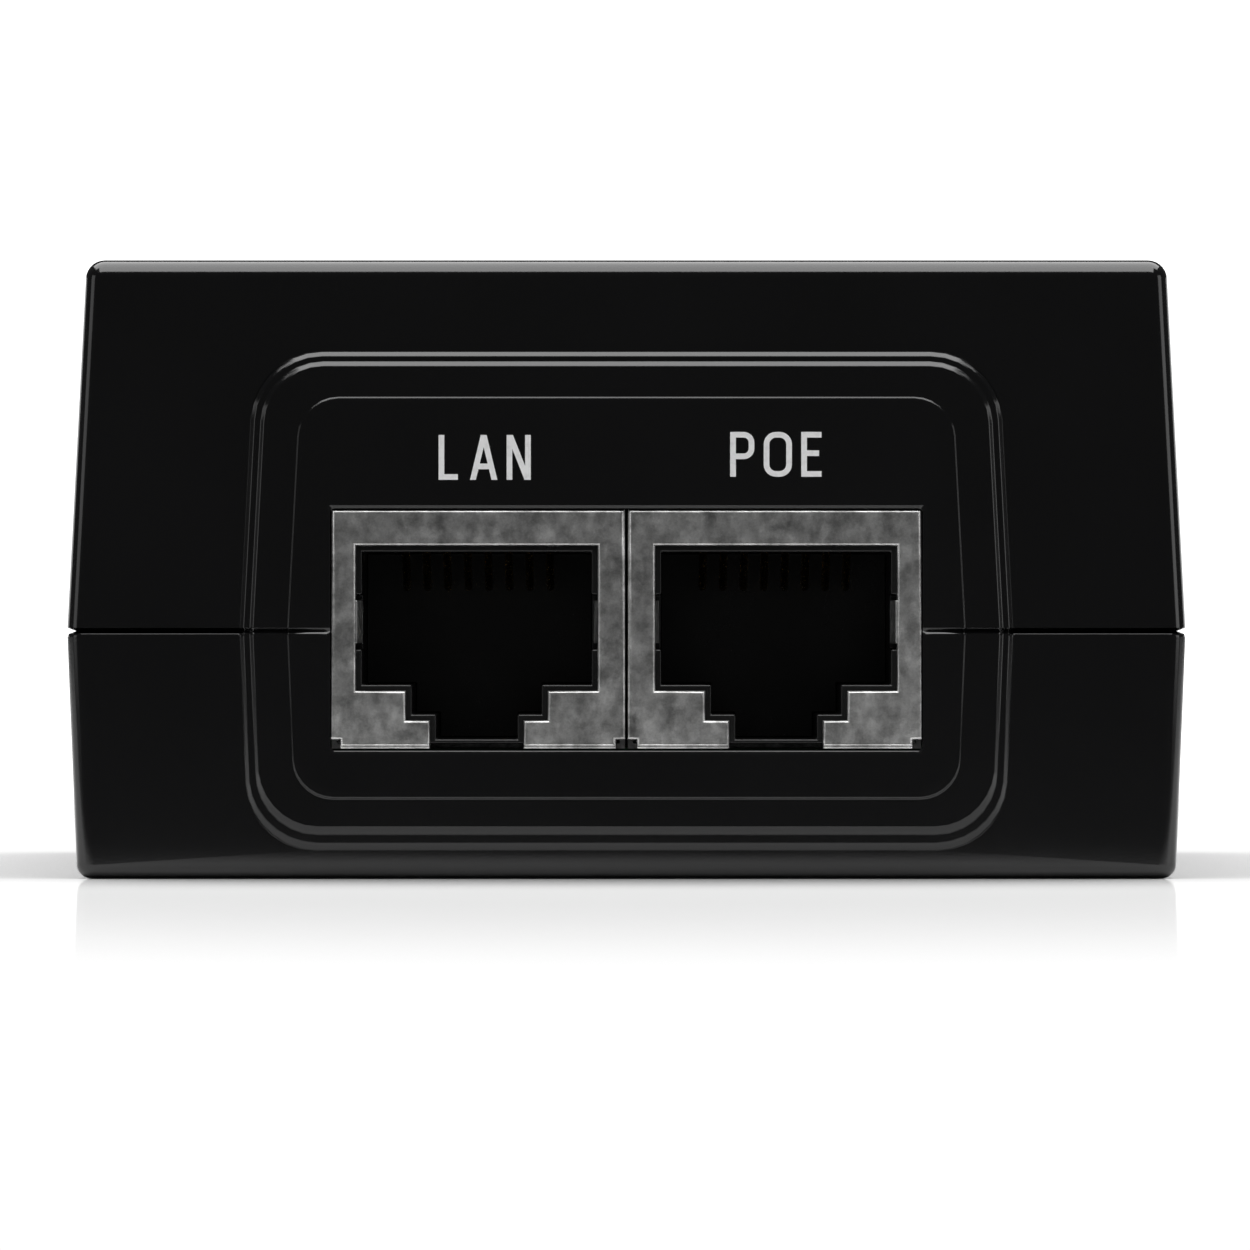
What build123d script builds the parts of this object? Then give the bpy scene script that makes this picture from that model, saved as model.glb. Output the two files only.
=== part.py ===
from build123d import *
import os
from math import cos, radians, tan

# Power-over-Ethernet injector, millimetres.
# X is the width, Y the length with the two network ports at -Y and the mains inlet at +Y,
# Z is up and the case rests on Z = 0.

# How far joined or cut shapes run into each other, and how near counts as the same place
overlap = 1.0
touch = 0.01

# Case: two drafted plastic covers that meet on a horizontal parting plane
case_length = 90.0
case_width = 55.2
case_height = 30.5
parting_z = 12.2
upper_draft = 3.0
lower_draft = 2.3
end_draft = 0.5
wall = 2.0
upright_corner = 1.0
least_corner = 0.4
top_edge_radius = 0.85
base_edge_radius = 0.65
groove_depth = 0.45
groove_rise = 0.2
tongue_height = 1.1
tongue_inset = 1.15
tongue_gap = 0.1

# Raised surround around the ports: three low steps, each a rounded outline, rise to the port panel
# Each step: half width on the parting plane, low edge, high edge, corner radius, height of its face
surround_height = 0.5
surround_steps = ((18.95, 1.63, 25.9, 3.25, 0.2), (18.48, 2.45, 25.43, 2.85, 0.42),
                  (16.68, 3.96, 23.85, 1.9, surround_height))
port_hole_half_width, port_hole_low, port_hole_high = 14.85, 6.0, 18.3

# Circuit board and the pegs that hold it
board_half_width = 24.2
board_half_length = 42.2
board_low, board_top = 4.8, 6.4
peg_x, peg_front, peg_rear = 20.8, -31.0, 27.0
post_radius, peg_radius, peg_hole_radius = 2.6, 1.3, 1.5
peg_top = 7.4
peg_hole_spare = 0.3

# Insulating film under the board, and the chips on the board's underside
film_thick, film_margin, film_hole_gap = 0.25, 1.5, 0.4
chip_width, chip_length, chip_height = 3.2, 1.6, 0.6
chip_columns, chip_rows, chip_step = 3, 4, 7.0
chip_first_x, chip_first_y = -8.0, -12.0

# Network jacks: an 8-way housing in a folded metal shield, latch slot at the bottom
jack_pitch = 14.75
jack_width = 14.35
jack_front, jack_back = -44.85, -28.85
jack_top = 18.2
sheet = 0.25
mouth_half_width, mouth_low, mouth_high = 5.95, 9.26, 16.4
step_half_width, step_low = 3.49, 7.8
slot_half_width = 2.3
slot_depth = 9.0
foot_notch_width, foot_notch_height = 0.45, 0.4
plug_inset = 0.1
cavity_back = -30.5
finger_low, finger_high, finger_length, finger_bulge = 11.6, 13.7, 4.5, 0.25
spring_room = 0.4

# Contact wires: eight sprung wires that hang from the roof and tilt up when a plug goes in
wire_count, wire_pitch, wire_width, wire_thick = 8, 1.02, 0.45, 0.3
wire_tip_run = 0.9
wire_root_y, wire_root_z = -40.2, 16.75
wire_tip_y, wire_tip_z = -33.8, 14.2
roof_pocket_half_width, roof_pocket_top = 4.5, 17.5
roof_pocket_front, roof_pocket_back = -41.9, -32.0
insert_back = -40.6
tail_y, tail_width, tail_top = -29.8, 0.45, 16.8

# Three-pin mains inlet (cloverleaf mouth)
inlet_face_y, inlet_depth = 44.5, 13.5
inlet_half_width, inlet_top = 11.0, 22.4
flange_half_width, flange_top, flange_thick = 13.0, 23.6, 2.0
pin_half_spacing, pin_row_z, earth_pin_z = 5.0, 11.6, 16.6
pin_radius, lobe_radius = 1.18, 4.3
mouth_floor_y = 33.0
live_pin_tip_y, earth_pin_tip_y = 41.5, 42.3
pin_tail_y = 31.5
pin_nose_share = 0.7
inlet_gap, flange_gap = 0.1, 0.3

# Rating plate area under the case
label_width, label_length, label_thick, label_y = 38.0, 46.0, 0.1, 4.0
label_recess, label_margin, label_corner = 0.15, 0.25, 1.5

# Mains side of the board: middle of each part in x and y, then its sizes
fuse_x, fuse_y, fuse_radius, fuse_height = -18.6, 38.0, 4.2, 8.0
surge_x, surge_y, surge_radius, surge_thick = 18.4, 38.0, 4.6, 4.0
filter_x, filter_y, filter_width, filter_length, filter_height = -8.5, 26.0, 13.0, 6.0, 12.0
ring_x, ring_y, ring_z, ring_outer, ring_inner, ring_thick = 8.0, 21.0, 15.6, 7.6, 3.9, 5.6
coil_swell, coil_parting = 0.8, 1.2
bridge_x, bridge_y, bridge_width, bridge_length, bridge_height = -6.5, 16.75, 15.0, 3.5, 11.0
bridge_legs, bridge_leg_pitch = 4, 3.67
reservoir_x, reservoir_y, reservoir_radius, reservoir_height = -15.0, 4.5, 7.5, 20.0

# Isolating transformer: split core, bobbin with two cheeks, taped windings
core_x, core_y, core_width, core_length, core_height = 4.0, 1.0, 20.0, 7.0, 17.0
core_arm, core_half_limb = 4.5, 3.2
bobbin_wall, bobbin_reach_y, bobbin_gap, bobbin_foot = 0.8, 4.4, 0.2, 1.0
winding_inset = 0.4

# Switch, rectifier and low-voltage side of the board
package_width, package_thick, package_height, package_leg_pitch = 10.0, 4.5, 15.0, 2.54
package_hole_radius, package_hole_drop = 1.6, 2.8
sink_face_x, sink_thick, sink_height = 21.1, 1.5, 19.0
package_x = 18.85
switch_y, switch_sink_front, switch_sink_back = 6.0, -6.0, 20.0
diode_y, diode_sink_front, diode_sink_back = -14.0, -24.0, -6.5
bridging_x, bridging_y, bridging_radius, bridging_thick = 17.0, -8.0, 3.8, 3.0
coupler_x, coupler_y, coupler_width, coupler_length, coupler_height = -1.75, -13.9, 6.5, 4.6, 3.6
smoothing_x_list, smoothing_y, smoothing_radius, smoothing_height = (-11.0, -2.0), -21.5, 4.0, 15.0
drum_x, drum_y, drum_radius, drum_height, drum_flange, drum_coil_inset = 7.0, -21.5, 4.0, 10.0, 1.5, 0.3
data_x, data_y, data_width, data_length, data_height = 18.0, -20.25, 11.0, 12.5, 5.8

# Component legs, the gap under a raised component, and the rolled groove of a capacitor can
leg_radius = 0.4
seat_gap, disc_gap, package_gap = 1.0, 1.5, 3.0
can_gap, can_groove_low, can_groove_high, can_groove_depth, can_edge = 0.5, 1.5, 2.2, 0.35, 0.6


def block(x_low, x_high, y_low, y_high, z_low, z_high):
    """Rectangular block between two corners."""
    size = (x_high - x_low, y_high - y_low, z_high - z_low)
    return Pos((x_low + x_high) / 2, (y_low + y_high) / 2, (z_low + z_high) / 2) * Box(*size)


def standing(x, y, width, length, z_low, height):
    """Rectangular block that stands with its middle at x, y."""
    return block(x - width / 2, x + width / 2, y - length / 2, y + length / 2, z_low, z_low + height)


def upright(x, y, z_low, z_high, radius):
    """Upright round post."""
    foot = (Align.CENTER, Align.CENTER, Align.MIN)
    return Pos(x, y, z_low) * Cylinder(radius, z_high - z_low, align=foot)


def lying(x, z, y_low, y_high, radius):
    """Round bar that lies along the length of the case."""
    return Pos(x, (y_low + y_high) / 2, z) * Rot(90, 0, 0) * Cylinder(radius, y_high - y_low)


def facing(y):
    """Plane across the case at y, seen from the port end: local x is +X, local y is +Z."""
    return Plane(origin=(0, y, 0), x_dir=(1, 0, 0), z_dir=(0, -1, 0))


def case_outline(z, inset):
    """Rounded rectangle of the drafted case at height z, drawn in by inset."""
    draft = upper_draft if z >= parting_z else lower_draft
    rise = abs(z - parting_z)
    half_x = case_width / 2 - inset - rise * tan(radians(draft))
    half_y = (case_length - surround_height) / 2 - inset - rise * tan(radians(end_draft))
    corner = max(upright_corner - inset, least_corner)
    return Plane.XY.offset(z) * Pos(0, surround_height / 2) * RectangleRounded(
        2 * half_x, 2 * half_y, corner)


def cover_shell(z_end, edge_radius):
    """One drafted cover from the parting plane to z_end, hollow, with its half of the groove."""
    sign = 1 if z_end > parting_z else -1
    skin = loft([case_outline(parting_z, groove_depth),
                 case_outline(parting_z + sign * groove_rise, 0),
                 case_outline(z_end, 0)], ruled=True)
    rim = [edge for edge in skin.edges() if abs(edge.center().Z - z_end) < touch]
    skin = fillet(rim, edge_radius)
    hollow = loft([case_outline(parting_z, wall), case_outline(z_end - sign * wall, wall)], ruled=True)
    return skin - hollow


def port_outline(half_width, z_low, z_high, corner, y):
    """Outline around the ports: widest on the parting plane, drafted above and below it."""
    high = half_width - (z_high - parting_z) * tan(radians(upper_draft))
    low = half_width - (parting_z - z_low) * tan(radians(lower_draft))
    outline = Polygon((-low, z_low), (low, z_low), (half_width, parting_z),
                      (high, z_high), (-high, z_high), (-half_width, parting_z), align=None)
    bends = [vertex for vertex in outline.vertices() if abs(vertex.Y - parting_z) > overlap]
    return facing(y) * fillet(bends, corner)


def surround(z_low, z_high):
    """The part of the stepped surround between two heights, rooted in the end wall."""
    root = -case_length / 2 + surround_height + wall / 2
    slab = block(-case_width, case_width, -case_length, root, z_low, z_high)
    steps = []
    for half_width, low, high, corner, height in surround_steps:
        outline = port_outline(half_width, low, high, corner, root)
        steps.append(extrude(outline, amount=wall / 2 + height) & slab)
    return steps


def posts(x_list, y_list, z_low, z_high, radius):
    """Identical posts on a grid."""
    return [upright(x, y, z_low, z_high, radius) for x in x_list for y in y_list]


def make_covers():
    """Top and bottom cover, with port and inlet cut-outs, board posts and a locating tongue."""
    reach = case_length
    port_hole = block(-port_hole_half_width, port_hole_half_width, -reach, -case_length / 2 + 2 * wall,
                      port_hole_low, port_hole_high)
    inlet_hole = block(-inlet_half_width - inlet_gap, inlet_half_width + inlet_gap,
                       case_length / 2 - 2 * wall, reach, board_top, inlet_top + inlet_gap)
    grid = ((-peg_x, peg_x), (peg_front, peg_rear))

    top = cover_shell(case_height, top_edge_radius) + surround(parting_z, case_height)
    rebate = tongue_height + tongue_gap
    top -= extrude(case_outline(parting_z, tongue_inset - tongue_gap), amount=rebate)
    top += posts(*grid, board_top, case_height - wall, post_radius)
    top -= posts(*grid, board_top, peg_top + peg_hole_spare, peg_hole_radius)
    top = top - port_hole - inlet_hole

    bottom = cover_shell(0, base_edge_radius) + surround(0, parting_z)
    tongue = case_outline(parting_z, tongue_inset) - case_outline(parting_z, wall + tongue_gap)
    bottom += extrude(tongue, amount=tongue_height)
    bottom += posts(*grid, wall, board_low, post_radius)
    bottom += posts(*grid, board_low, peg_top, peg_radius)
    recess = RectangleRounded(label_width + 2 * label_margin, label_length + 2 * label_margin, label_corner)
    bottom -= extrude(Pos(0, label_y, 0) * recess, amount=label_recess)
    bottom = bottom - port_hole - inlet_hole
    return top, bottom


def make_board():
    """Circuit board with four peg holes, the film under it, and the chips on its underside."""
    board = block(-board_half_width, board_half_width, -board_half_length, board_half_length,
                  board_low, board_top)
    holes = posts((-peg_x, peg_x), (peg_front, peg_rear), board_low, board_top, peg_hole_radius)
    film = block(-board_half_width + film_margin, board_half_width - film_margin,
                 -board_half_length + film_margin, board_half_length - film_margin,
                 wall, wall + film_thick)
    film -= posts((-peg_x, peg_x), (peg_front, peg_rear), wall, wall + film_thick,
                  post_radius + film_hole_gap)
    chips = [standing(chip_first_x + column * chip_step, chip_first_y + row * chip_step,
                      chip_width, chip_length, board_low - chip_height, chip_height)
             for column in range(chip_columns) for row in range(chip_rows)]
    return board - holes, film, Compound(chips)


def mouth(x, y_low, y_high, inset, z_floor):
    """Stepped plug opening of one jack: wide mouth, shoulder, narrow latch slot."""
    wide = block(x - mouth_half_width + inset, x + mouth_half_width - inset, y_low, y_high,
                 mouth_low + inset, mouth_high - inset)
    shoulder = block(x - step_half_width + inset, x + step_half_width - inset, y_low, y_high,
                     step_low + inset, mouth_low + overlap)
    slot = block(x - slot_half_width + inset, x + slot_half_width - inset, y_low, y_high,
                 z_floor, mouth_low + overlap)
    return wide + shoulder + slot


def make_shield(x):
    """Folded metal shield with its plug opening, latch slot and two grounding fingers."""
    half = jack_width / 2
    outside = block(x - half, x + half, jack_front, jack_back, board_top, jack_top)
    inside = block(x - half + sheet, x + half - sheet, jack_front + sheet, jack_back - sheet,
                   board_top + sheet, jack_top - sheet)
    shield = outside - inside - mouth(x, jack_front, jack_front + sheet, 0, board_top)
    shield -= block(x - slot_half_width, x + slot_half_width, jack_front, jack_front + slot_depth,
                    board_top, board_top + sheet)
    for side in (-1, 1):
        corner_x = x + side * (half - foot_notch_width / 2)
        shield -= Pos(corner_x, jack_front + sheet / 2, board_top + foot_notch_height / 2) * Box(
            foot_notch_width, sheet, foot_notch_height)
        edge = x + side * mouth_half_width
        profile = Polygon((edge + side * sheet, jack_front + sheet), (edge, jack_front),
                          (edge - side * finger_bulge, jack_front + finger_length / 3),
                          (edge, jack_front + finger_length),
                          (edge + side * sheet, jack_front + finger_length), align=None)
        shield += extrude(Plane.XY.offset(finger_low) * profile, amount=finger_high - finger_low,
                          dir=(0, 0, 1))
    return shield


def make_jack_housing(x):
    """Plastic jack body: plug cavity, latch slot, roof pocket for the wires, rear tail grooves."""
    half = jack_width / 2 - sheet
    front, back = jack_front + sheet, jack_back - sheet
    housing = block(x - half, x + half, front, back, board_top + sheet, jack_top - sheet)
    housing -= mouth(x, front, cavity_back, plug_inset, mouth_low - overlap)
    housing -= block(x - slot_half_width + plug_inset, x + slot_half_width - plug_inset, front,
                     front + slot_depth, board_top, mouth_low)
    housing -= block(x - roof_pocket_half_width, x + roof_pocket_half_width,
                     roof_pocket_front, roof_pocket_back, mouth_low + overlap, roof_pocket_top)
    housing -= block(x - mouth_half_width - spring_room, x + mouth_half_width + spring_room, front,
                     jack_front + finger_length + spring_room,
                     finger_low - spring_room / 2, finger_high + spring_room / 2)
    for wire_x in wire_positions(x):
        housing -= block(wire_x - tail_width / 2, wire_x + tail_width / 2, tail_y - tail_width / 2,
                         tail_y + tail_width / 2, board_top, tail_top)
    return housing


def wire_positions(x):
    """Centre of each of the eight wires of the jack at x."""
    first = x - wire_pitch * (wire_count - 1) / 2
    return [first + wire_pitch * index for index in range(wire_count)]


def make_contacts(x):
    """Eight sloping contact wires, each with a short flat tip."""
    spine = Polygon((wire_root_y, wire_root_z), (wire_tip_y, wire_tip_z),
                    (wire_tip_y + wire_tip_run, wire_tip_z + wire_thick),
                    (wire_tip_y + wire_tip_run, wire_tip_z + 2 * wire_thick),
                    (wire_tip_y, wire_tip_z + wire_thick),
                    (wire_root_y, wire_root_z + wire_thick), align=None)
    side_on = Plane(origin=(0, 0, 0), x_dir=(0, 1, 0), z_dir=(1, 0, 0))
    return Compound([extrude(Pos(wire_x - wire_width / 2, 0, 0) * (side_on * spine),
                             amount=wire_width, dir=(1, 0, 0)) for wire_x in wire_positions(x)])


def make_insert(x):
    """Plastic comb in the roof of the jack that clamps the front bends of the wires."""
    return block(x - roof_pocket_half_width, x + roof_pocket_half_width, roof_pocket_front, insert_back,
                 mouth_high - plug_inset, roof_pocket_top)


def make_tails(x):
    """Eight solder tails that stand in the rear wall of the jack."""
    return Compound([block(wire_x - tail_width / 2, wire_x + tail_width / 2, tail_y - tail_width / 2,
                           tail_y + tail_width / 2, board_top + sheet, tail_top)
                     for wire_x in wire_positions(x)])


def make_inlet():
    """Mains inlet body with a cloverleaf mouth and three separate pins."""
    body_low = inlet_face_y - inlet_depth
    flange_back = case_length / 2 - wall - flange_gap
    body = block(-inlet_half_width, inlet_half_width, body_low, inlet_face_y, board_top, inlet_top)
    body += block(-flange_half_width, flange_half_width, flange_back - flange_thick, flange_back,
                  board_top, flange_top)
    lobes = [(-pin_half_spacing, pin_row_z), (pin_half_spacing, pin_row_z), (0, earth_pin_z)]
    for x, z in lobes:
        body -= lying(x, z, mouth_floor_y, inlet_face_y, lobe_radius)
    body -= block(-pin_half_spacing, pin_half_spacing, mouth_floor_y, inlet_face_y,
                  pin_row_z - lobe_radius, earth_pin_z)
    tips = (live_pin_tip_y, live_pin_tip_y, earth_pin_tip_y)
    pins = []
    for (x, z), tip in zip(lobes, tips):
        pin = lying(x, z, pin_tail_y, tip, pin_radius)
        end = [edge for edge in pin.edges() if abs(edge.center().Y - tip) < touch]
        pins.append(fillet(end, pin_radius * pin_nose_share))
        body -= lying(x, z, pin_tail_y, mouth_floor_y, pin_radius)
    return [body] + pins


def on_legs(body, leg_points, leg_top):
    """A component body on short round legs that reach the board."""
    return body + [upright(x, y, board_top, leg_top, leg_radius) for x, y in leg_points]


def capacitor_can(x, y, radius, height):
    """Upright electrolytic can with a rolled groove near its foot."""
    foot = board_top + can_gap
    groove = (foot + can_groove_low, foot + can_groove_high)
    can = upright(x, y, foot, foot + height, radius)
    can -= upright(x, y, *groove, radius) - upright(x, y, *groove, radius - can_groove_depth)
    rim = [edge for edge in can.edges() if abs(edge.center().Z - foot - height) < touch]
    can = fillet(rim, can_edge)
    return on_legs(can, [(x - radius / 2, y), (x + radius / 2, y)], foot)


def ring_core(outer, inner, thick):
    """Upright ring of the common-mode choke, its axis across the case."""
    ring = Cylinder(outer, thick) - Cylinder(inner, thick)
    return Pos(ring_x, ring_y, ring_z) * Rot(0, 90, 0) * ring


def disc_part(x, y, radius, thick):
    """Upright disc component on two legs."""
    centre = board_top + disc_gap + radius
    disc = Pos(x, y, centre) * Rot(90, 0, 0) * Cylinder(radius, thick)
    return on_legs(disc, [(x - radius / 2, y), (x + radius / 2, y)], centre - radius * cos(radians(30)))


def power_package(x, y):
    """Three-legged power package, flat against its heat sink."""
    low = board_top + package_gap
    body = standing(x, y, package_thick, package_width, low, package_height)
    hole_z = low + package_height - package_hole_drop
    body -= Pos(x, y, hole_z) * Rot(0, 90, 0) * Cylinder(package_hole_radius, package_thick)
    return on_legs(body, [(x, y + step * package_leg_pitch) for step in (-1, 0, 1)], low)


def make_input_stage():
    """Fuse, surge disc, filter capacitor, common-mode choke, rectifier and reservoir can."""
    fuse_low = board_top + seat_gap
    fuse = on_legs(upright(fuse_x, fuse_y, fuse_low, fuse_low + fuse_height, fuse_radius),
                   [(fuse_x - fuse_radius / 2, fuse_y), (fuse_x + fuse_radius / 2, fuse_y)], fuse_low)
    core = ring_core(ring_outer, ring_inner, ring_thick)
    coil = ring_core(ring_outer + coil_swell, ring_inner - coil_swell, ring_thick + 2 * coil_swell) - core
    middle = standing(ring_x, ring_y, ring_thick + 4 * coil_swell, 2 * coil_parting, 0, case_height)
    coil -= middle
    front_half = block(-case_width, case_width, 0, ring_y, 0, case_height)
    bridge_low = board_top + disc_gap
    bridge = standing(bridge_x, bridge_y, bridge_width, bridge_length, bridge_low, bridge_height)
    first_leg = bridge_x - bridge_leg_pitch * (bridge_legs - 1) / 2
    bridge = on_legs(bridge, [(first_leg + bridge_leg_pitch * index, bridge_y)
                              for index in range(bridge_legs)], bridge_low)
    return {"input_fuse": fuse,
            "surge_disc": disc_part(surge_x, surge_y, surge_radius, surge_thick),
            "filter_capacitor": standing(filter_x, filter_y, filter_width, filter_length,
                                         board_top, filter_height),
            "choke_core": core, "choke_coil_line": coil & front_half,
            "choke_coil_neutral": coil - front_half, "bridge_rectifier": bridge,
            "reservoir_capacitor": capacitor_can(reservoir_x, reservoir_y, reservoir_radius,
                                                 reservoir_height)}


def make_transformer():
    """Split core, bobbin and taped windings of the isolating transformer."""
    low = board_top + package_gap
    window_low, window_high = low + core_arm, low + core_height - core_arm
    window = window_high - window_low
    window_width = core_width - core_arm
    core = standing(core_x, core_y, core_width, core_length, low, core_height)
    core -= (standing(core_x, core_y, window_width, core_length, window_low, window)
             - standing(core_x, core_y, 2 * core_half_limb, core_length, window_low, window))

    sleeve_width = 2 * (core_half_limb + bobbin_wall)
    sleeve_length = core_length + 2 * bobbin_wall
    cheek_width, cheek_length = window_width - 2 * bobbin_gap, core_length + 2 * bobbin_reach_y
    sleeve = standing(core_x, core_y, sleeve_width, sleeve_length, window_low, window)
    former = sleeve
    for z_low in (window_low, window_high - bobbin_wall):
        former += standing(core_x, core_y, cheek_width, cheek_length, z_low, bobbin_wall)
    former -= standing(core_x, core_y, 2 * core_half_limb, core_length, window_low, window)
    for side in (-1, 1):
        foot_y = core_y + side * (cheek_length / 2 - bobbin_foot)
        former += standing(core_x, foot_y, 2 * core_half_limb, 2 * bobbin_foot,
                           board_top, window_low - board_top)
    windings = standing(core_x, core_y, cheek_width - 2 * winding_inset, cheek_length - 2 * winding_inset,
                        window_low + bobbin_wall, window - 2 * bobbin_wall) - sleeve
    return {"transformer_core": core, "transformer_bobbin": former, "transformer_windings": windings}


def make_output_stage():
    """Switch, rectifier, their heat sinks, smoothing parts, coupler and the data transformer."""
    switch_sink = block(sink_face_x, sink_face_x + sink_thick, switch_sink_front, switch_sink_back,
                        board_top, board_top + sink_height)
    diode_sink = block(-sink_face_x - sink_thick, -sink_face_x, diode_sink_front, diode_sink_back,
                       board_top, board_top + sink_height)
    first, second = [capacitor_can(x, smoothing_y, smoothing_radius, smoothing_height)
                     for x in smoothing_x_list]
    drum_top = board_top + drum_height
    waist = upright(drum_x, drum_y, board_top, drum_top, drum_radius / 2)
    drum = waist + [upright(drum_x, drum_y, z, z + drum_flange, drum_radius)
                    for z in (board_top, drum_top - drum_flange)]
    coil = upright(drum_x, drum_y, board_top + drum_flange, drum_top - drum_flange,
                   drum_radius - drum_coil_inset) - waist
    return {"switch_heat_sink": switch_sink, "power_switch": power_package(package_x, switch_y),
            "output_diode_heat_sink": diode_sink, "output_diode": power_package(-package_x, diode_y),
            "bridging_capacitor": disc_part(bridging_x, bridging_y, bridging_radius, bridging_thick),
            "feedback_coupler": standing(coupler_x, coupler_y, coupler_width, coupler_length,
                                         board_top, coupler_height),
            "smoothing_capacitors": first + second, "output_choke_core": drum,
            "output_choke_coil": coil,
            "data_transformer": standing(data_x, data_y, data_width, data_length,
                                         board_top, data_height)}


nodes = {}
nodes["top_cover"], nodes["bottom_cover"] = make_covers()
nodes["rating_label"] = Pos(0, label_y, label_recess - label_thick) * extrude(
    RectangleRounded(label_width, label_length, label_corner), amount=label_thick)
nodes["main_board"], nodes["insulation_film"], nodes["underside_chips"] = make_board()
for port, x in (("lan", -jack_pitch / 2), ("poe", jack_pitch / 2)):
    nodes[port + "_jack_shield"] = make_shield(x)
    nodes[port + "_jack_housing"] = make_jack_housing(x)
    nodes[port + "_jack_insert"] = make_insert(x)
    nodes[port + "_jack_contacts"] = make_contacts(x)
    nodes[port + "_jack_tails"] = make_tails(x)
inlet_names = ("inlet_housing", "inlet_line_pin", "inlet_neutral_pin", "inlet_earth_pin")
nodes.update(zip(inlet_names, make_inlet()))
nodes.update(make_input_stage())
nodes.update(make_transformer())
nodes.update(make_output_stage())

os.makedirs("parts", exist_ok=True)
for name, solid in nodes.items():
    export_step(solid, "parts/" + name + ".step")
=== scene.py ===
from math import cos, pi, radians, sin, tan

import bmesh
import bpy
from mathutils import Matrix, Vector


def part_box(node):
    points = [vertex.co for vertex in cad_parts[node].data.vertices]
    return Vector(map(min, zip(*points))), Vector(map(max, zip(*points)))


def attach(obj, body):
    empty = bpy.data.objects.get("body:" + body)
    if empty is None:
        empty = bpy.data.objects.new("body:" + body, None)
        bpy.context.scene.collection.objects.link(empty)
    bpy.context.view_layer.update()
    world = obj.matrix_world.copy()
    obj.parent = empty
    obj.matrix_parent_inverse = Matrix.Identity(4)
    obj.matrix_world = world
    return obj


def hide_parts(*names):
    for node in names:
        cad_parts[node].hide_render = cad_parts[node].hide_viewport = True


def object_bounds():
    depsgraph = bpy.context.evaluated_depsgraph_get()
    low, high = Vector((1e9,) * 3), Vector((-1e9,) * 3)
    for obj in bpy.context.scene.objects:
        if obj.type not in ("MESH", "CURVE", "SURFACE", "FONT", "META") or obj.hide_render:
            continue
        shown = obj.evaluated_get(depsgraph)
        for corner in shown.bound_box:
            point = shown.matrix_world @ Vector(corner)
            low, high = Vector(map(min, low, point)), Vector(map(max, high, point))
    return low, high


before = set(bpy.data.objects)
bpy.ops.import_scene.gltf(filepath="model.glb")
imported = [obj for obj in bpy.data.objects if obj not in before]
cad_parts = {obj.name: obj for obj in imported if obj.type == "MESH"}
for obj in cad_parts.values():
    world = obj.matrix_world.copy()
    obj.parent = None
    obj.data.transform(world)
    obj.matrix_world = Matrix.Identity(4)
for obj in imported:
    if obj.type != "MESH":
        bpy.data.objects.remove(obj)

MM = 0.001
cad_low, cad_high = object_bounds()

# ---------------------------------------------------------------- sizes, in millimetres
INK_ROOM, SURROUND_RISE, SIDE_EASE = 0.015, 0.5, 0.008
PANEL_Y = cad_low.y / MM + INK_ROOM
FACE_Y = cad_low.y / MM + SURROUND_RISE
BACK_Y = cad_high.y / MM
CASE_HALF_WIDTH = cad_high.x / MM + SIDE_EASE
CASE_HEIGHT = cad_high.z / MM
PARTING = 12.2
UPPER_DRAFT, LOWER_DRAFT, END_DRAFT = radians(3.0), radians(2.3), radians(0.5)
WALL = 2.0
CASE_EDGE, CASE_EDGE_LOW = 0.9, 0.68
CORNER_STEPS = 7
# parting groove: deepest on the parting line, running out in a shallow slope below it
GROOVE_DEPTH, GROOVE_RISE = 0.45, 0.2
GROOVE_TOP, LIP_HEAD, LIP_FOOT, LIP_SHARE = 0.8, 0.65, 1.5, 0.175
FINE_GROOVE, PORT_HOLE_GROOVE = 0.16, 0.05
# holes: half width, low, high
PORT_HOLE, PORT_HOLE_CORNER, PORT_HOLE_CHAMFER = (14.6, 6.3, 18.25), 0.25, 0.14
INLET_HOLE, INLET_HOLE_CORNER = (11.1, 6.35, 22.5), 0.6
INSIDE_CORNER = 0.4
# label recess: half width, half length, middle along the case, depth
LABEL_RECESS, LABEL_CORNER = (19.25, 23.25, 4.0, 0.15), 1.5
JACK_PITCH = 14.75
JACK_HALF = 7.175
MIDDLE_GAP = 0.14
JACK_FRONT, JACK_BACK = -44.85, -28.85
BOARD_TOP, JACK_TOP = 6.4, 18.2
SHEET = 0.25
MOUTH_HALF, MOUTH_LOW, MOUTH_HIGH = 5.95, 9.26, 16.4
STEP_HALF, STEP_LOW, SLOT_HALF = 3.49, 7.8, 2.3
SLOT_DEPTH = 9.0
FIT = 0.02
CLEAR = 1.0
PORTS = (("lan", -JACK_PITCH / 2), ("poe", JACK_PITCH / 2))


# ---------------------------------------------------------------- material makers
def shader(name):
    """A fresh node material with its Principled shader."""
    material = bpy.data.materials.new(name)
    material.use_nodes = True
    return material, material.node_tree, material.node_tree.nodes["Principled BSDF"]


def link(tree, source, target):
    tree.links.new(source, target)


def object_noise(tree, scale, detail=3.0, stretch=(1, 1, 1), rough=0.5):
    """Noise in the piece's own coordinates; scale counts features per metre."""
    place = tree.nodes.new("ShaderNodeTexCoord")
    turn = tree.nodes.new("ShaderNodeMapping")
    turn.inputs["Scale"].default_value = stretch
    noise = tree.nodes.new("ShaderNodeTexNoise")
    noise.inputs["Scale"].default_value = scale
    noise.inputs["Detail"].default_value = detail
    noise.inputs["Roughness"].default_value = rough
    link(tree, place.outputs["Object"], turn.inputs["Vector"])
    link(tree, turn.outputs["Vector"], noise.inputs["Vector"])
    return noise.outputs["Fac"]


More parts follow.
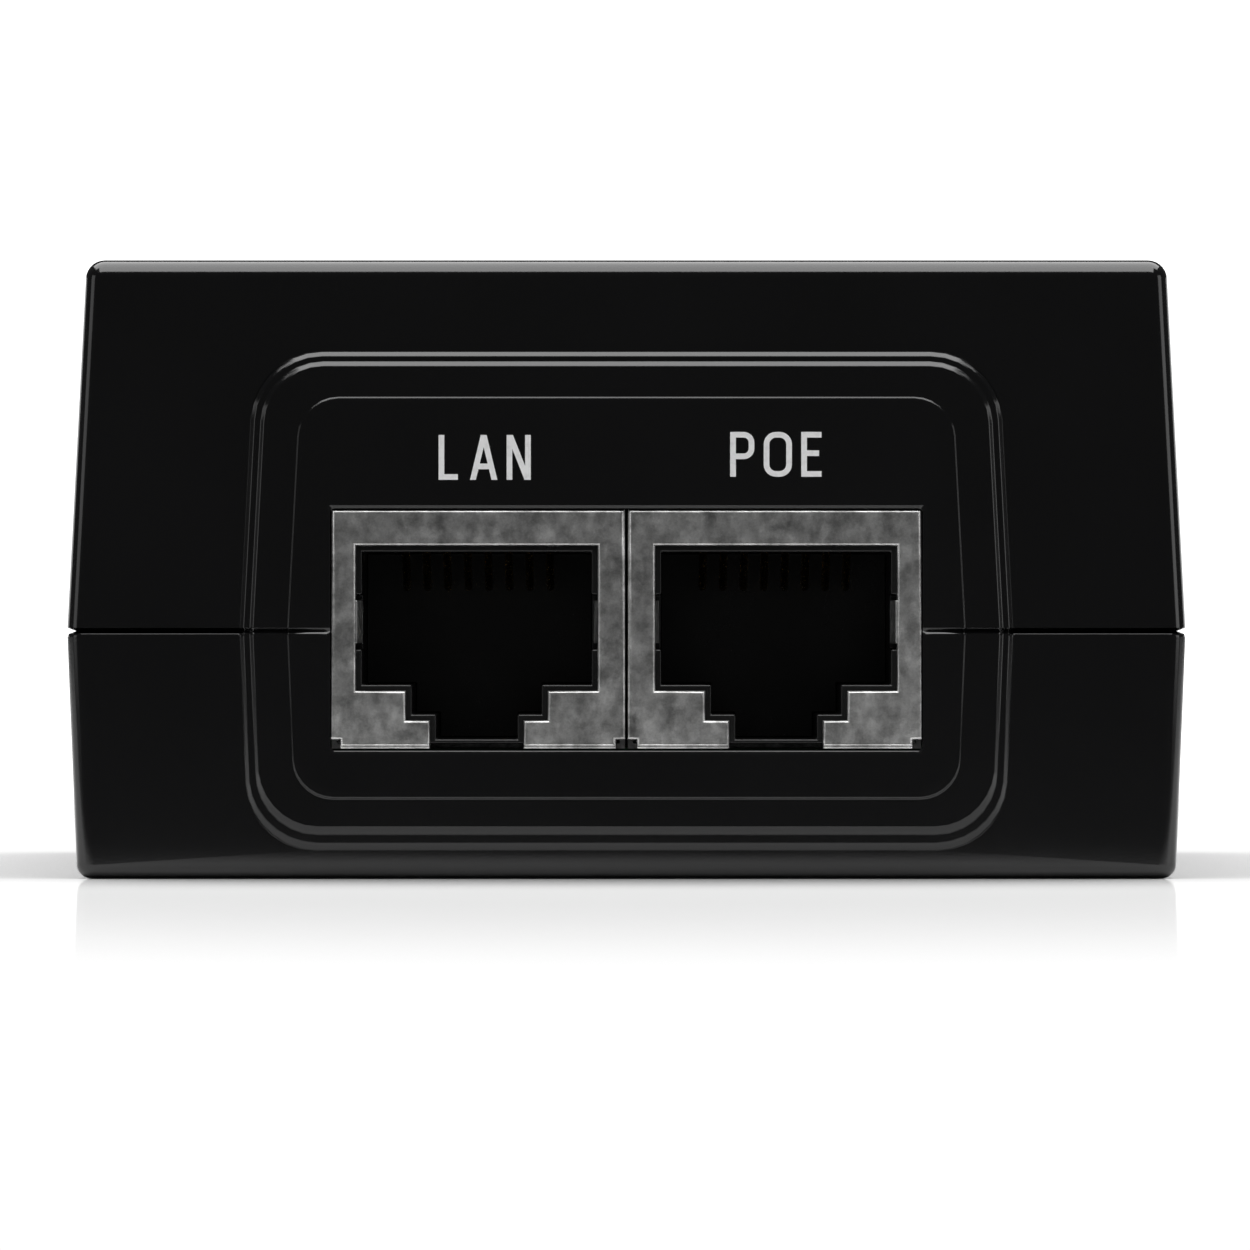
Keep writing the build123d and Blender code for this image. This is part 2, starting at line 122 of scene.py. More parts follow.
def ramp(tree, value, stops):
    """Colour ramp through (place, colour) stops."""
    node = tree.nodes.new("ShaderNodeValToRGB")
    while len(node.color_ramp.elements) < len(stops):
        node.color_ramp.elements.new(0.5)
    for element, (place, colour) in zip(node.color_ramp.elements, stops):
        element.position = place
        element.color = (*colour, 1)
    link(tree, value, node.inputs["Fac"])
    return node.outputs["Color"]


def spread(tree, value, low, high):
    """Value from 0..1 spread between low and high."""
    node = tree.nodes.new("ShaderNodeMapRange")
    node.inputs["From Min"].default_value = 0.3
    node.inputs["From Max"].default_value = 0.7
    node.inputs["To Min"].default_value = low
    node.inputs["To Max"].default_value = high
    link(tree, value, node.inputs["Value"])
    return node.outputs["Result"]


def bumped(tree, body, height, depth_mm, strength=1.0):
    """Relief from a height value, depth in millimetres."""
    node = tree.nodes.new("ShaderNodeBump")
    node.inputs["Strength"].default_value = strength
    node.inputs["Distance"].default_value = depth_mm * MM
    link(tree, height, node.inputs["Height"])
    link(tree, node.outputs["Normal"], body.inputs["Normal"])


def moulded_plastic(name, dark, light, rough, grain_mm=0.12, grain_depth=0.004, cloud=0.05, gloss=0.5):
    """Injection-moulded plastic: spark-eroded grain, faint cloudiness, uneven gloss."""
    material, tree, body = shader(name)
    body.inputs["Specular IOR Level"].default_value = gloss
    clouds = object_noise(tree, 120, 4)
    link(tree, ramp(tree, clouds, [(0.3, dark), (0.72, light)]), body.inputs["Base Color"])
    wipe = object_noise(tree, 260, 5, (1, 0.35, 1))
    link(tree, spread(tree, wipe, rough - cloud, rough + cloud), body.inputs["Roughness"])
    grain = object_noise(tree, 1 / (grain_mm * MM), 2)
    bumped(tree, body, grain, grain_depth)
    return material


def tin_plate(name):
    """Tin-plated sheet: cloudy grey with a faint crystalline mottle and fine rolling lines."""
    material, tree, body = shader(name)
    body.inputs["Metallic"].default_value = 1.0
    cloud = object_noise(tree, 900, 8, (1, 1, 1), 0.72)
    link(tree, ramp(tree, cloud, [(0.34, (0.32, 0.32, 0.316)), (0.5, (0.62, 0.62, 0.612)),
                                  (0.66, (0.92, 0.92, 0.91))]), body.inputs["Base Color"])
    mottle = object_noise(tree, 1500, 4, (1, 1, 0.6), 0.6)
    link(tree, spread(tree, mottle, 0.3, 0.44), body.inputs["Roughness"])
    fine = object_noise(tree, 6500, 3, (1, 1, 0.25))
    bumped(tree, body, fine, 0.006, 0.6)
    return material


def drawn_metal(name, dark, light, rough):
    """Drawn or rolled bare metal with fine lines along the length."""
    material, tree, body = shader(name)
    body.inputs["Metallic"].default_value = 1.0
    tone = object_noise(tree, 500, 4)
    link(tree, ramp(tree, tone, [(0.3, dark), (0.7, light)]), body.inputs["Base Color"])
    lines = object_noise(tree, 7000, 2, (1, 0.08, 1))
    link(tree, spread(tree, lines, rough - 0.06, rough + 0.1), body.inputs["Roughness"])
    bumped(tree, body, lines, 0.003, 0.5)
    return material


def pad_print(name):
    """White pad-printed ink with slightly uneven cover."""
    material, tree, body = shader(name)
    cover = object_noise(tree, 3000, 4)
    link(tree, ramp(tree, cover, [(0.2, (0.78, 0.78, 0.78)), (0.5, (0.95, 0.95, 0.95))]),
         body.inputs["Base Color"])
    link(tree, spread(tree, cover, 0.45, 0.6), body.inputs["Roughness"])
    bumped(tree, body, cover, 0.004, 0.4)
    return material


CASE_BLACK = moulded_plastic("case_black", (0.0016, 0.0016, 0.0018), (0.0026, 0.0026, 0.0029), 0.12,
                             grain_depth=0.001, cloud=0.015, gloss=0.6)
JACK_BLACK = moulded_plastic("jack_black", (0.004, 0.004, 0.004), (0.006, 0.006, 0.006), 0.3, 0.08,
                             gloss=0.4)
INLET_BLACK = moulded_plastic("inlet_black", (0.007, 0.007, 0.007), (0.011, 0.011, 0.012), 0.3, 0.2, 0.002)
EPOXY_BLACK = moulded_plastic("epoxy_black", (0.014, 0.014, 0.015), (0.026, 0.026, 0.028), 0.55)
SHIELD_TIN = tin_plate("shield_tin")
CONTACT_GOLD = drawn_metal("contact_gold", (0.62, 0.40, 0.13), (0.86, 0.62, 0.26), 0.24)
PIN_NICKEL = drawn_metal("pin_nickel", (0.48, 0.47, 0.44), (0.66, 0.65, 0.61), 0.25)
SINK_METAL = drawn_metal("sink_metal", (0.55, 0.56, 0.57), (0.74, 0.75, 0.76), 0.35)
COPPER_COIL = drawn_metal("copper_coil", (0.42, 0.13, 0.05), (0.62, 0.24, 0.09), 0.28)
PRINT_WHITE = pad_print("print_white")
BOARD_GREEN = moulded_plastic("board_green", (0.010, 0.07, 0.025), (0.018, 0.12, 0.045), 0.35, 0.5)
FERRITE_GREY = moulded_plastic("ferrite_grey", (0.025, 0.025, 0.028), (0.05, 0.05, 0.055), 0.65, 0.2, 0.01)
TAPE_YELLOW = moulded_plastic("tape_yellow", (0.50, 0.36, 0.03), (0.66, 0.50, 0.07), 0.38)
DISC_BLUE = moulded_plastic("disc_blue", (0.02, 0.08, 0.26), (0.04, 0.14, 0.4), 0.35, 0.6, 0.02)
SLEEVE_DARK = moulded_plastic("sleeve_dark", (0.012, 0.014, 0.03), (0.02, 0.024, 0.05), 0.25, 1.2)
BOX_YELLOW = moulded_plastic("box_yellow", (0.5, 0.34, 0.03), (0.62, 0.44, 0.06), 0.4)
FILM_CLEAR = moulded_plastic("film_clear", (0.42, 0.42, 0.38), (0.55, 0.55, 0.5), 0.3, 0.8)
LABEL_SILVER = moulded_plastic("label_silver", (0.42, 0.43, 0.44), (0.52, 0.53, 0.54), 0.42, 0.3, 0.003)


# ---------------------------------------------------------------- piece makers
def settle(bm, name, material, stands_for=(), body="case", edge=0.0, smooth_angle=32):
    """Turns a finished bmesh into a piece that rides on its body."""
    bmesh.ops.remove_doubles(bm, verts=bm.verts, dist=1e-7)
    bmesh.ops.recalc_face_normals(bm, faces=bm.faces)
    mesh = bpy.data.meshes.new(name)
    bm.to_mesh(mesh)
    bm.free()
    piece = bpy.data.objects.new(name, mesh)
    bpy.context.scene.collection.objects.link(piece)
    mesh.materials.append(material)
    mesh.shade_smooth()
    mesh.set_sharp_from_angle(angle=radians(smooth_angle))
    if edge:
        rounding = piece.modifiers.new("edges", "BEVEL")
        rounding.width = edge * MM
        rounding.segments = 3
        rounding.limit_method = "ANGLE"
        rounding.angle_limit = radians(40)
        rounding.harden_normals = True
    else:
        weights = piece.modifiers.new("flats", "WEIGHTED_NORMAL")
        weights.keep_sharp = True
    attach(piece, body)
    if stands_for:
        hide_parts(*stands_for)
    return piece


def add_block(bm, x_low, x_high, y_low, y_high, z_low, z_high):
    """Rectangular block between two corners, in millimetres."""
    size = Vector((x_high - x_low, y_high - y_low, z_high - z_low)) * MM
    middle = Vector((x_low + x_high, y_low + y_high, z_low + z_high)) * MM / 2
    place = Matrix.Translation(middle) @ Matrix.Diagonal((*size, 1))
    return bmesh.ops.create_cube(bm, size=1, matrix=place)["verts"]


def add_bar(bm, x, z, y_low, y_high, radius, turns=48):
    """Round bar along the length of the case."""
    place = Matrix.Translation(Vector((x, (y_low + y_high) / 2, z)) * MM) @ Matrix.Rotation(pi / 2, 4, "X")
    return bmesh.ops.create_cone(bm, cap_ends=True, segments=turns, radius1=radius * MM,
                                 radius2=radius * MM, depth=(y_high - y_low) * MM, matrix=place)["verts"]


def carve(bm, cutter):
    """Cuts one bmesh out of another and returns the result."""
    bmesh.ops.recalc_face_normals(cutter, faces=cutter.faces)
    made = []
    for part in (bm, cutter):
        mesh = bpy.data.meshes.new("carving")
        part.to_mesh(mesh)
        part.free()
        made.append(bpy.data.objects.new("carving", mesh))
        bpy.context.scene.collection.objects.link(made[-1])
    block, tool = made
    cut = block.modifiers.new("cut", "BOOLEAN")
    cut.object = tool
    cut.operation = "DIFFERENCE"
    cut.solver = "EXACT"
    bpy.context.view_layer.update()
    result = bmesh.new()
    result.from_object(block, bpy.context.evaluated_depsgraph_get())
    for spent in made:
        bpy.data.meshes.remove(spent.data)
    bmesh.ops.remove_doubles(result, verts=result.verts, dist=2e-7)
    return result


def round_edges(bm, edges, radius, steps=3, clamp=True):
    """Rounds a chosen set of edges."""
    bmesh.ops.bevel(bm, geom=edges, offset=radius * MM, segments=steps, profile=0.5,
                    affect="EDGES", material=-1, clamp_overlap=clamp)


# ---------------------------------------------------------------- case covers
def ring(bm, half, low, high, corners, y, notch=(0, 0), drafted=True):
    """Right half of one outline across the case, from under the middle up round the side to the top."""
    def half_at(z):
        slope = tan(UPPER_DRAFT) if z > PARTING else tan(LOWER_DRAFT)
        return half - abs(z - PARTING) * slope * drafted
    heights = ((low, 0), (PARTING - LIP_FOOT * GROOVE_RISE, 0),
               (PARTING - LIP_HEAD * GROOVE_RISE, LIP_SHARE), (PARTING, 1),
               (PARTING + GROOVE_TOP * GROOVE_RISE, 0), (high, 0))
    inward = notch[1] if y < 0 else -notch[1]
    side = [(half_at(z) - notch[0] * share, y + inward * share, z) for z, share in heights]
    verts = [bm.verts.new((x * MM, across * MM, z * MM))
             for x, across, z in [(0, y, low)] + side + [(0, y, high)]]
    bm.faces.new(verts)
    for radius, corner in ((corners[0], verts[1]), (corners[1], verts[-2])):
        bmesh.ops.bevel(bm, geom=[corner], offset=radius * MM, segments=CORNER_STEPS, profile=0.5,
                        affect="VERTICES", material=-1)
    face, = bm.faces
    edges = [edge for edge in face.edges if not (edge.verts[0].co.x == 0 and edge.verts[1].co.x == 0)]
    closing, = set(face.edges) - set(edges)
    bmesh.ops.delete(bm, geom=[closing], context="EDGES")
    return edges


def towards(here, other, reach):
    """Station a short way from one station towards another, less than half way."""
    share = min(0.45, reach / max(span(here, other), 1e-6))
    return [h + (o - h) * share for h, o in zip(here, other)]


def softened(stations, reach, steps=3):
    """Replaces each inner corner of a run of stations by a short curve."""
    result = [stations[0]]
    for before, here, after in zip(stations, stations[1:], stations[2:]):
        start, end = towards(here, before, reach), towards(here, after, reach)
        for step in range(steps + 1):
            t = step / steps
            result.append([s * (1 - t) ** 2 + 2 * h * t * (1 - t) + e * t ** 2
                           for s, h, e in zip(start, here, end)])
    return result + [stations[-1]]


def span(first, second):
    """Distance between two stations measured across the end of the case."""
    return ((first[0] - second[0]) ** 2 + (first[5] - second[5]) ** 2) ** 0.5


def raised_steps():
    """Stations of the surround from the port hole outwards: panel, two lower steps, end face."""
    fine, coarse, softening = 0.018, 0.11, 0.07
    second_y, first_y = PANEL_Y + 0.08, PANEL_Y + 0.28
    # half width on the parting line, low, high, corner, y before and after the step, half the step's run
    steps = ((16.68, 3.96, 23.7, 1.9, PANEL_Y, second_y, fine),
             (18.48, 2.42, 25.37, 2.85, second_y, first_y, coarse),
             (18.95, 1.5, 25.86, 3.25, first_y, FACE_Y, coarse))
    # half width on the parting line, low, high, low corner, high corner, y, depth of the parting groove
    stations = [[14.85, 6.0, 18.4, 0.3, 0.3, PANEL_Y, FINE_GROOVE]]
    for half, low, high, corner, upper_y, lower_y, run in steps:
        for out, y in ((-run, upper_y), (run, lower_y)):
            groove = GROOVE_DEPTH if y == FACE_Y else FINE_GROOVE
            stations.append([half + out, low - out, high + out, corner + out, corner + out, y, groove])
    stations.append([22.0, 1.2, 28.0, 1.5, 1.5, FACE_Y, GROOVE_DEPTH])
    return softened(stations, softening)[:-1]


def case_shell():
    """Hollow case as one skin: panel, surround, end face, sides, back, inlet hole, inside."""
    bm = bmesh.new()
    port_corners, inlet_corners = (PORT_HOLE_CORNER,) * 2, (INLET_HOLE_CORNER,) * 2
    # rings up to the hole's rim stand upright, wider ones follow the draft of the sides
    hole_rim = 15
    rings = [ring(bm, *PORT_HOLE, port_corners, PANEL_Y + PORT_HOLE_CHAMFER, (0, PORT_HOLE_GROOVE), False)]
    for half, low, high, low_corner, high_corner, y, groove in raised_steps():
        rings.append(ring(bm, half, low, high, (low_corner, high_corner), y, (0, groove), half > hole_rim))
    sharpest, low_lift, low_shrink = (0.04, 0.05), 0.75, 0.72
    for end, direction in ((FACE_Y, 1), (BACK_Y, -1)):
        for turn in list(range(CORNER_STEPS + 1))[::direction]:
            angle = pi / 2 * turn / CORNER_STEPS
            inset, depth = CASE_EDGE * (1 - sin(angle)), CASE_EDGE * (1 - cos(angle))
            corner = (max(CASE_EDGE_LOW - inset * low_shrink, sharpest[0]),
                      max(CASE_EDGE - inset, sharpest[1]))
            dent = (GROOVE_DEPTH * sin(angle), GROOVE_DEPTH * cos(angle))
            rings.append(ring(bm, CASE_HALF_WIDTH - inset, inset * low_lift, CASE_HEIGHT - inset, corner,
                              end + direction * depth, dent))
    rings.append(ring(bm, *INLET_HOLE, inlet_corners, BACK_Y, (0, GROOVE_DEPTH), False))
    rings.append(ring(bm, *INLET_HOLE, inlet_corners, BACK_Y - WALL, (0, 0), False))
    for y in (BACK_Y - WALL, FACE_Y + WALL):
        rings.append(ring(bm, CASE_HALF_WIDTH - WALL, WALL, CASE_HEIGHT - WALL, (INSIDE_CORNER,) * 2, y))
    rings.append(ring(bm, *PORT_HOLE, port_corners, FACE_Y + WALL, (0, 0), False))
    for first, second in zip(rings, rings[1:] + rings[:1]):
        bmesh.ops.bridge_loops(bm, edges=first + second)
    bmesh.ops.mirror(bm, geom=bm.verts[:] + bm.edges[:] + bm.faces[:], axis="X", merge_dist=1e-7)
    for vert in bm.verts:
        if vert.co.y > (FACE_Y - 0.02) * MM:
            lean = abs(vert.co.z - PARTING * MM) * tan(END_DRAFT)
            vert.co.y -= lean * vert.co.y / (BACK_Y * MM)
    bmesh.ops.recalc_face_normals(bm, faces=bm.faces)
    return bm


def cover(name, node, keep_top):
    """One cover: the case cut on the parting plane, its cut faces closed."""
    bm = case_shell()
    cut = bmesh.ops.bisect_plane(bm, geom=bm.verts[:] + bm.edges[:] + bm.faces[:], dist=1e-6,
                                 plane_co=(0, 0, PARTING * MM), plane_no=(0, 0, 1),
                                 clear_inner=keep_top, clear_outer=not keep_top)
    rim = [item for item in cut["geom_cut"] if isinstance(item, bmesh.types.BMEdge)]
    bmesh.ops.holes_fill(bm, edges=[edge for edge in rim if edge.is_valid and edge.is_boundary], sides=0)
    if not keep_top:
        half_x, half_y, middle_y, depth = LABEL_RECESS
        sunk = bmesh.new()
        add_block(sunk, -half_x, half_x, middle_y - half_y, middle_y + half_y, -1, depth)
        upright = [edge for edge in sunk.edges if abs(edge.verts[0].co.z - edge.verts[1].co.z) > depth * MM]
        round_edges(sunk, upright, LABEL_CORNER, 5)
        bmesh.ops.recalc_face_normals(bm, faces=bm.faces)
        bm = carve(bm, sunk)
    return settle(bm, name, CASE_BLACK, [node])


cover("top_cover_moulding", "top_cover", True)
cover("bottom_cover_moulding", "bottom_cover", False)


# ---------------------------------------------------------------- jacks
def stepped_mouth(x, y_low, y_high, inset, floor):
    """Cutter in the shape of the plug opening: wide mouth, shoulder and latch slot."""
    bm = bmesh.new()
    path = [(SLOT_HALF, floor), (SLOT_HALF, STEP_LOW), (STEP_HALF, STEP_LOW), (STEP_HALF, MOUTH_LOW),
            (MOUTH_HALF, MOUTH_LOW), (MOUTH_HALF, MOUTH_HIGH)]
    right = []
    for half, z in path:
        rise = 0 if z == floor else (inset if z < MOUTH_HIGH else -inset)
        right.append((half - inset, z + rise))
    loop = right + [(-half, z) for half, z in reversed(right)]
    face = bm.faces.new([bm.verts.new(((x + px) * MM, y_low * MM, pz * MM)) for px, pz in loop])
    grown = bmesh.ops.extrude_face_region(bm, geom=[face])
    verts = [item for item in grown["geom"] if isinstance(item, bmesh.types.BMVert)]
    bmesh.ops.translate(bm, verts=verts, vec=(0, (y_high - y_low) * MM, 0))
    return bm


def front_edge_place(edge, left, right):
    """Where a sharp edge of a shield's front lies: side, top or mouth. None for any other edge."""
    near, crease = 0.01, 0.5
    in_front = all(abs(vert.co.y - JACK_FRONT * MM) < 1e-6 for vert in edge.verts)
    if not in_front or edge.calc_face_angle(0) <= crease:
        return None
    if all(min(abs(vert.co.x / MM - left), abs(vert.co.x / MM - right)) < near for vert in edge.verts):
        return "side"
    return "top" if all(vert.co.z > (JACK_TOP - near) * MM for vert in edge.verts) else "mouth"


def shield(port, x):
    """Folded tin-plated shield: front plate with a rolled opening, sides, top, back and a bottom lip."""
    left, right = (x - JACK_HALF, -MIDDLE_GAP / 2) if x < 0 else (MIDDLE_GAP / 2, x + JACK_HALF)
    bm = bmesh.new()
    add_block(bm, left, right, JACK_FRONT, JACK_BACK, BOARD_TOP, JACK_TOP)
    core = bmesh.new()
    add_block(core, left + SHEET, right - SHEET, JACK_FRONT + SHEET, JACK_BACK - SHEET,
              BOARD_TOP + SHEET, JACK_TOP - SHEET)
    bm = carve(bm, core)
    through = 1.5 * SHEET
    bm = carve(bm, stepped_mouth(x, JACK_FRONT - CLEAR, JACK_FRONT + through, 0, BOARD_TOP - CLEAR))
    openings = bmesh.new()
    add_block(openings, x - SLOT_HALF, x + SLOT_HALF, JACK_FRONT - CLEAR, JACK_FRONT + SLOT_DEPTH,
              BOARD_TOP - CLEAR, BOARD_TOP + through)
    notch, notch_length = 0.43, 2.0
    for edge in (left, right):
        add_block(openings, edge - notch, edge + notch, JACK_FRONT - CLEAR, JACK_FRONT + notch_length,
                  BOARD_TOP - CLEAR, BOARD_TOP + notch)
    bm = carve(bm, openings)
    for place, radius in (("mouth", 0.17), ("side", 0.2), ("top", 0.1)):
        edges = [edge for edge in bm.edges if front_edge_place(edge, left, right) == place]
        round_edges(bm, edges, radius, clamp=False)
    lip_reach, lip_low, lip_high, lip_edge = 0.1, 0.01, 0.22, 0.06
    for ends in ((left + notch + FIT, x - SLOT_HALF - FIT), (x + SLOT_HALF + FIT, right - notch - FIT)):
        lip = add_block(bm, *ends, JACK_FRONT - lip_reach, JACK_FRONT + lip_reach,
                        BOARD_TOP + lip_low, BOARD_TOP + lip_high)
        round_edges(bm, list({edge for vert in lip for edge in vert.link_edges}), lip_edge, 2)
    return settle(bm, port + "_shield", SHIELD_TIN, [port + "_jack_shield"])


def grounding_fingers(port, x):
    """Two bowed spring tongues that stand a little into the opening."""
    bm = bmesh.new()
    steps, bulge, fullness, set_back = 12, 0.25, 0.8, 0.06
    length, low, height, thick = 4.2, 11.6, 2.1, 0.12
    for side in (-1, 1):
        chain = []
        for step in range(steps + 1):
            t = step / steps
            bow = bulge * sin(pi * min(t * 1.12, 1.0)) ** fullness
            across, depth = x + side * (MOUTH_HALF + set_back - bow), JACK_FRONT + set_back + t * length
            chain.append(bm.verts.new((across * MM, depth * MM, low * MM)))
        edges = [bm.edges.new(pair) for pair in zip(chain, chain[1:])]
        lifted = bmesh.ops.extrude_edge_only(bm, edges=edges)
        verts = [item for item in lifted["geom"] if isinstance(item, bmesh.types.BMVert)]
        bmesh.ops.translate(bm, verts=verts, vec=(0, 0, height * MM))
    bmesh.ops.recalc_face_normals(bm, faces=bm.faces)
    bmesh.ops.solidify(bm, geom=bm.faces[:], thickness=thick * MM)
    return settle(bm, port + "_grounding_fingers", SHIELD_TIN, edge=0.03)


def jack_housing(port, x):
    """Black jack body with the plug cavity, a lead-in at its front edge and a comb in the roof."""
    half = JACK_HALF - SHEET - FIT
    front, back, top = JACK_FRONT + SHEET + FIT, JACK_BACK - SHEET - FIT, JACK_TOP - SHEET - FIT
    cavity_back, rim, slot_floor = -30.5, 0.3, BOARD_TOP + 0.48
    comb_half, comb_front, comb_back, comb_low, comb_high = 4.5, -41.9, -32.0, 15, 17.5
    finger_inset, finger_half, finger_front, finger_back = 0.1, 0.4, front - 0.5, front + 4.8
    bm = bmesh.new()
    add_block(bm, x - half, x + half, front, back, BOARD_TOP + SHEET, top)
    bm = carve(bm, stepped_mouth(x, front - CLEAR, cavity_back, rim, slot_floor))
    pockets = bmesh.new()
    add_block(pockets, x - comb_half, x + comb_half, comb_front, comb_back, comb_low, comb_high)
    for side in (-1, 1):
        edge = x + side * (MOUTH_HALF - finger_inset)
        add_block(pockets, edge - finger_half, edge + finger_half, finger_front, finger_back, 11.3, 14.0)
    bm = carve(bm, pockets)
    return settle(bm, port + "_housing", JACK_BLACK, [port + "_jack_housing"], edge=0.1)


def contact_wires(port, x):
    """Eight round spring wires: a bend at the front, a sloping run and a lifted tip."""
    low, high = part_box(port + "_jack_contacts")
    bm = bmesh.new()
    radius, count = 0.2 * MM, 8
    pitch = (high.x - low.x - 0.45 * MM) / (count - 1)
    route = [(low.y + radius, high.z - radius), (low.y + 0.9 * MM, high.z - 0.62 * MM),
             (high.y - 1.3 * MM, low.z + 0.42 * MM), (high.y - 0.8 * MM, low.z + radius),
             (high.y - radius, low.z + 0.55 * MM)]
    for index in range(count):
        centre = low.x + 0.225 * MM + index * pitch
        rings = []
        for place, (y, z) in enumerate(route):
            ahead, behind = route[min(place + 1, len(route) - 1)], route[max(place - 1, 0)]
            run = Vector((0, ahead[0] - behind[0], ahead[1] - behind[1])).normalized()
            turned = run.to_track_quat("Z", "X").to_matrix().to_4x4()
            disc = bmesh.ops.create_circle(bm, segments=10, radius=radius,
                                           matrix=Matrix.Translation((centre, y, z)) @ turned)
            rings.append(list({edge for vert in disc["verts"] for edge in vert.link_edges}))
        for first, second in zip(rings, rings[1:]):
            bmesh.ops.bridge_loops(bm, edges=first + second)
        bmesh.ops.holes_fill(bm, edges=rings[0] + rings[-1], sides=0)
    return settle(bm, port + "_contact_wires", CONTACT_GOLD, [port + "_jack_contacts"],
                  body=port + "_wires", smooth_angle=50)


for port, x in PORTS:
    shield(port, x)
    grounding_fingers(port, x)
    jack_housing(port, x)
    contact_wires(port, x)


# ---------------------------------------------------------------- port names
def stroke(bm, path, width, lift):
    """A flat band of the given width along a path on the panel, mitred at its bends.

    A single slanting run ends level with the baseline, as a printed letter does.
    """
    rows = ([], [])
    for before, here, after in zip([path[0]] + path, path, path[1:] + [path[-1]]):
        run_in, run_out = Vector(here) - Vector(before), Vector(after) - Vector(here)
        run_in = (run_in if run_in.length else run_out).normalized()
        run_out = run_out.normalized() if run_out.length else run_in
        across = Vector((-(run_in + run_out).y, (run_in + run_out).x)).normalized()
        if len(path) == 2 and run_in.x and run_in.y:
            across = Vector((-1 if run_in.y > 0 else 1, 0))
        mitre = width / 2 / max(0.45, across.dot(Vector((-run_in.y, run_in.x))))
        for side, row in zip((-1, 1), rows):
            place = Vector(here) + across * mitre * side
            row.append(bm.verts.new((place.x * MM, -lift * MM, place.y * MM)))
    bm.faces.new(rows[0] + rows[1][::-1])


def bend(centre_x, centre_y, radius, start, end, steps=6):
    """Points on a round bend, angles in degrees."""
    angles = [radians(start + (end - start) * step / steps) for step in range(steps + 1)]
    return [(centre_x + radius * cos(angle), centre_y + radius * sin(angle)) for angle in angles]


def letter_paths(letter, wide, tall, half_pen):
    """Centre lines of a plain capital letter in a box wide by tall."""
    r = 0.42 * wide
    foot, head = -half_pen, tall + half_pen
    middle = tall * 0.45
    if letter == "L":
        return [[(0, head), (0, 0), (wide, 0)]]
    if letter == "A":
        return [[(0, foot), (wide / 2, head)], [(wide, foot), (wide / 2, head)],
                [(wide * 0.18, tall * 0.27), (wide * 0.82, tall * 0.27)]]
    if letter == "N":
        return [[(0, foot), (0, head)], [(wide, foot), (wide, head)], [(0.02, head), (wide - 0.02, foot)]]
    if letter == "P":
        bow = bend(wide - r, tall - r, r, 90, 0) + bend(wide - r, middle + r, r, 0, -90)
        return [[(0, foot), (0, head)], [(0.02, tall)] + bow + [(0.02, middle)]]
    if letter == "O":
        right, left = wide / 2 - 0.01, wide / 2 + 0.01
        right_bow = bend(wide - r, tall - r, r, 90, 0) + bend(wide - r, r, r, 0, -90)
        left_bow = bend(r, r, r, -90, -180) + bend(r, tall - r, r, 180, 90)
        return [[(right, tall)] + right_bow + [(right, 0)], [(left, 0)] + left_bow + [(left, tall)]]
    return [[(wide, tall), (0, tall), (0, 0), (wide, 0)], [(0.02, tall * 0.53), (wide * 0.86, tall * 0.53)]]


def port_name(word, centre, baseline, name):
    """Printed port name: plain monoline capitals, a thin raised layer of ink on the panel."""
    pen, tall, gap, ink, layer, sunk = 0.28, 1.93, 0.74, 0.006, 0.003, 0.004
    widths = {"L": 0.81, "A": 1.06, "N": 0.91, "P": 0.91, "O": 1.11, "E": 0.86}
    total = sum(widths[letter] for letter in word) + gap * (len(word) - 1)
    bm = bmesh.new()
    left = centre - total / 2
    for letter in word:
        for order, path in enumerate(letter_paths(letter, widths[letter], tall, pen / 2)):
            stroke(bm, [(left + px, baseline + pen / 2 + py) for px, py in path], pen, order * layer)
        left += widths[letter] + gap
    raised = bmesh.ops.extrude_face_region(bm, geom=bm.faces[:])
    verts = [item for item in raised["geom"] if isinstance(item, bmesh.types.BMVert)]
    bmesh.ops.translate(bm, verts=verts, vec=(0, -(ink + sunk) * MM, 0))
    bmesh.ops.translate(bm, verts=bm.verts, vec=(0, (PANEL_Y + sunk) * MM, 0))
    return settle(bm, name, PRINT_WHITE)


port_name("LAN", -6.98, 19.65, "lan_name_print")
port_name("POE", 7.43, 19.8, "poe_name_print")


# ---------------------------------------------------------------- mains inlet
PIN_SPACING, PIN_ROW, EARTH_ROW = 5, 11.6, 16.6
LIVE_TIP, EARTH_TIP = 41.5, 42.3


def inlet_body():
    """Inlet moulding: flanged block with a cloverleaf mouth."""
    half, front, back, top = 11, 31, 44.5, 22.4
    mouth_floor, mouth_end, mouth_low, mouth_high, lobe_radius = 33, 46, 7.3, 15.9, 4.3
    bm = bmesh.new()
    add_block(bm, -half, half, front, back, BOARD_TOP, top)
    mouth = bmesh.new()
    add_block(mouth, -PIN_SPACING, PIN_SPACING, mouth_floor, mouth_end, mouth_low, mouth_high)
    bm = carve(bm, mouth)
    for x, z in ((-PIN_SPACING, PIN_ROW), (PIN_SPACING, PIN_ROW), (0, EARTH_ROW)):
        lobe = bmesh.new()
        add_bar(lobe, x, z, mouth_floor, mouth_end, lobe_radius)
        bm = carve(bm, lobe)
    return settle(bm, "inlet_body", INLET_BLACK, ["inlet_housing"], edge=0.3)


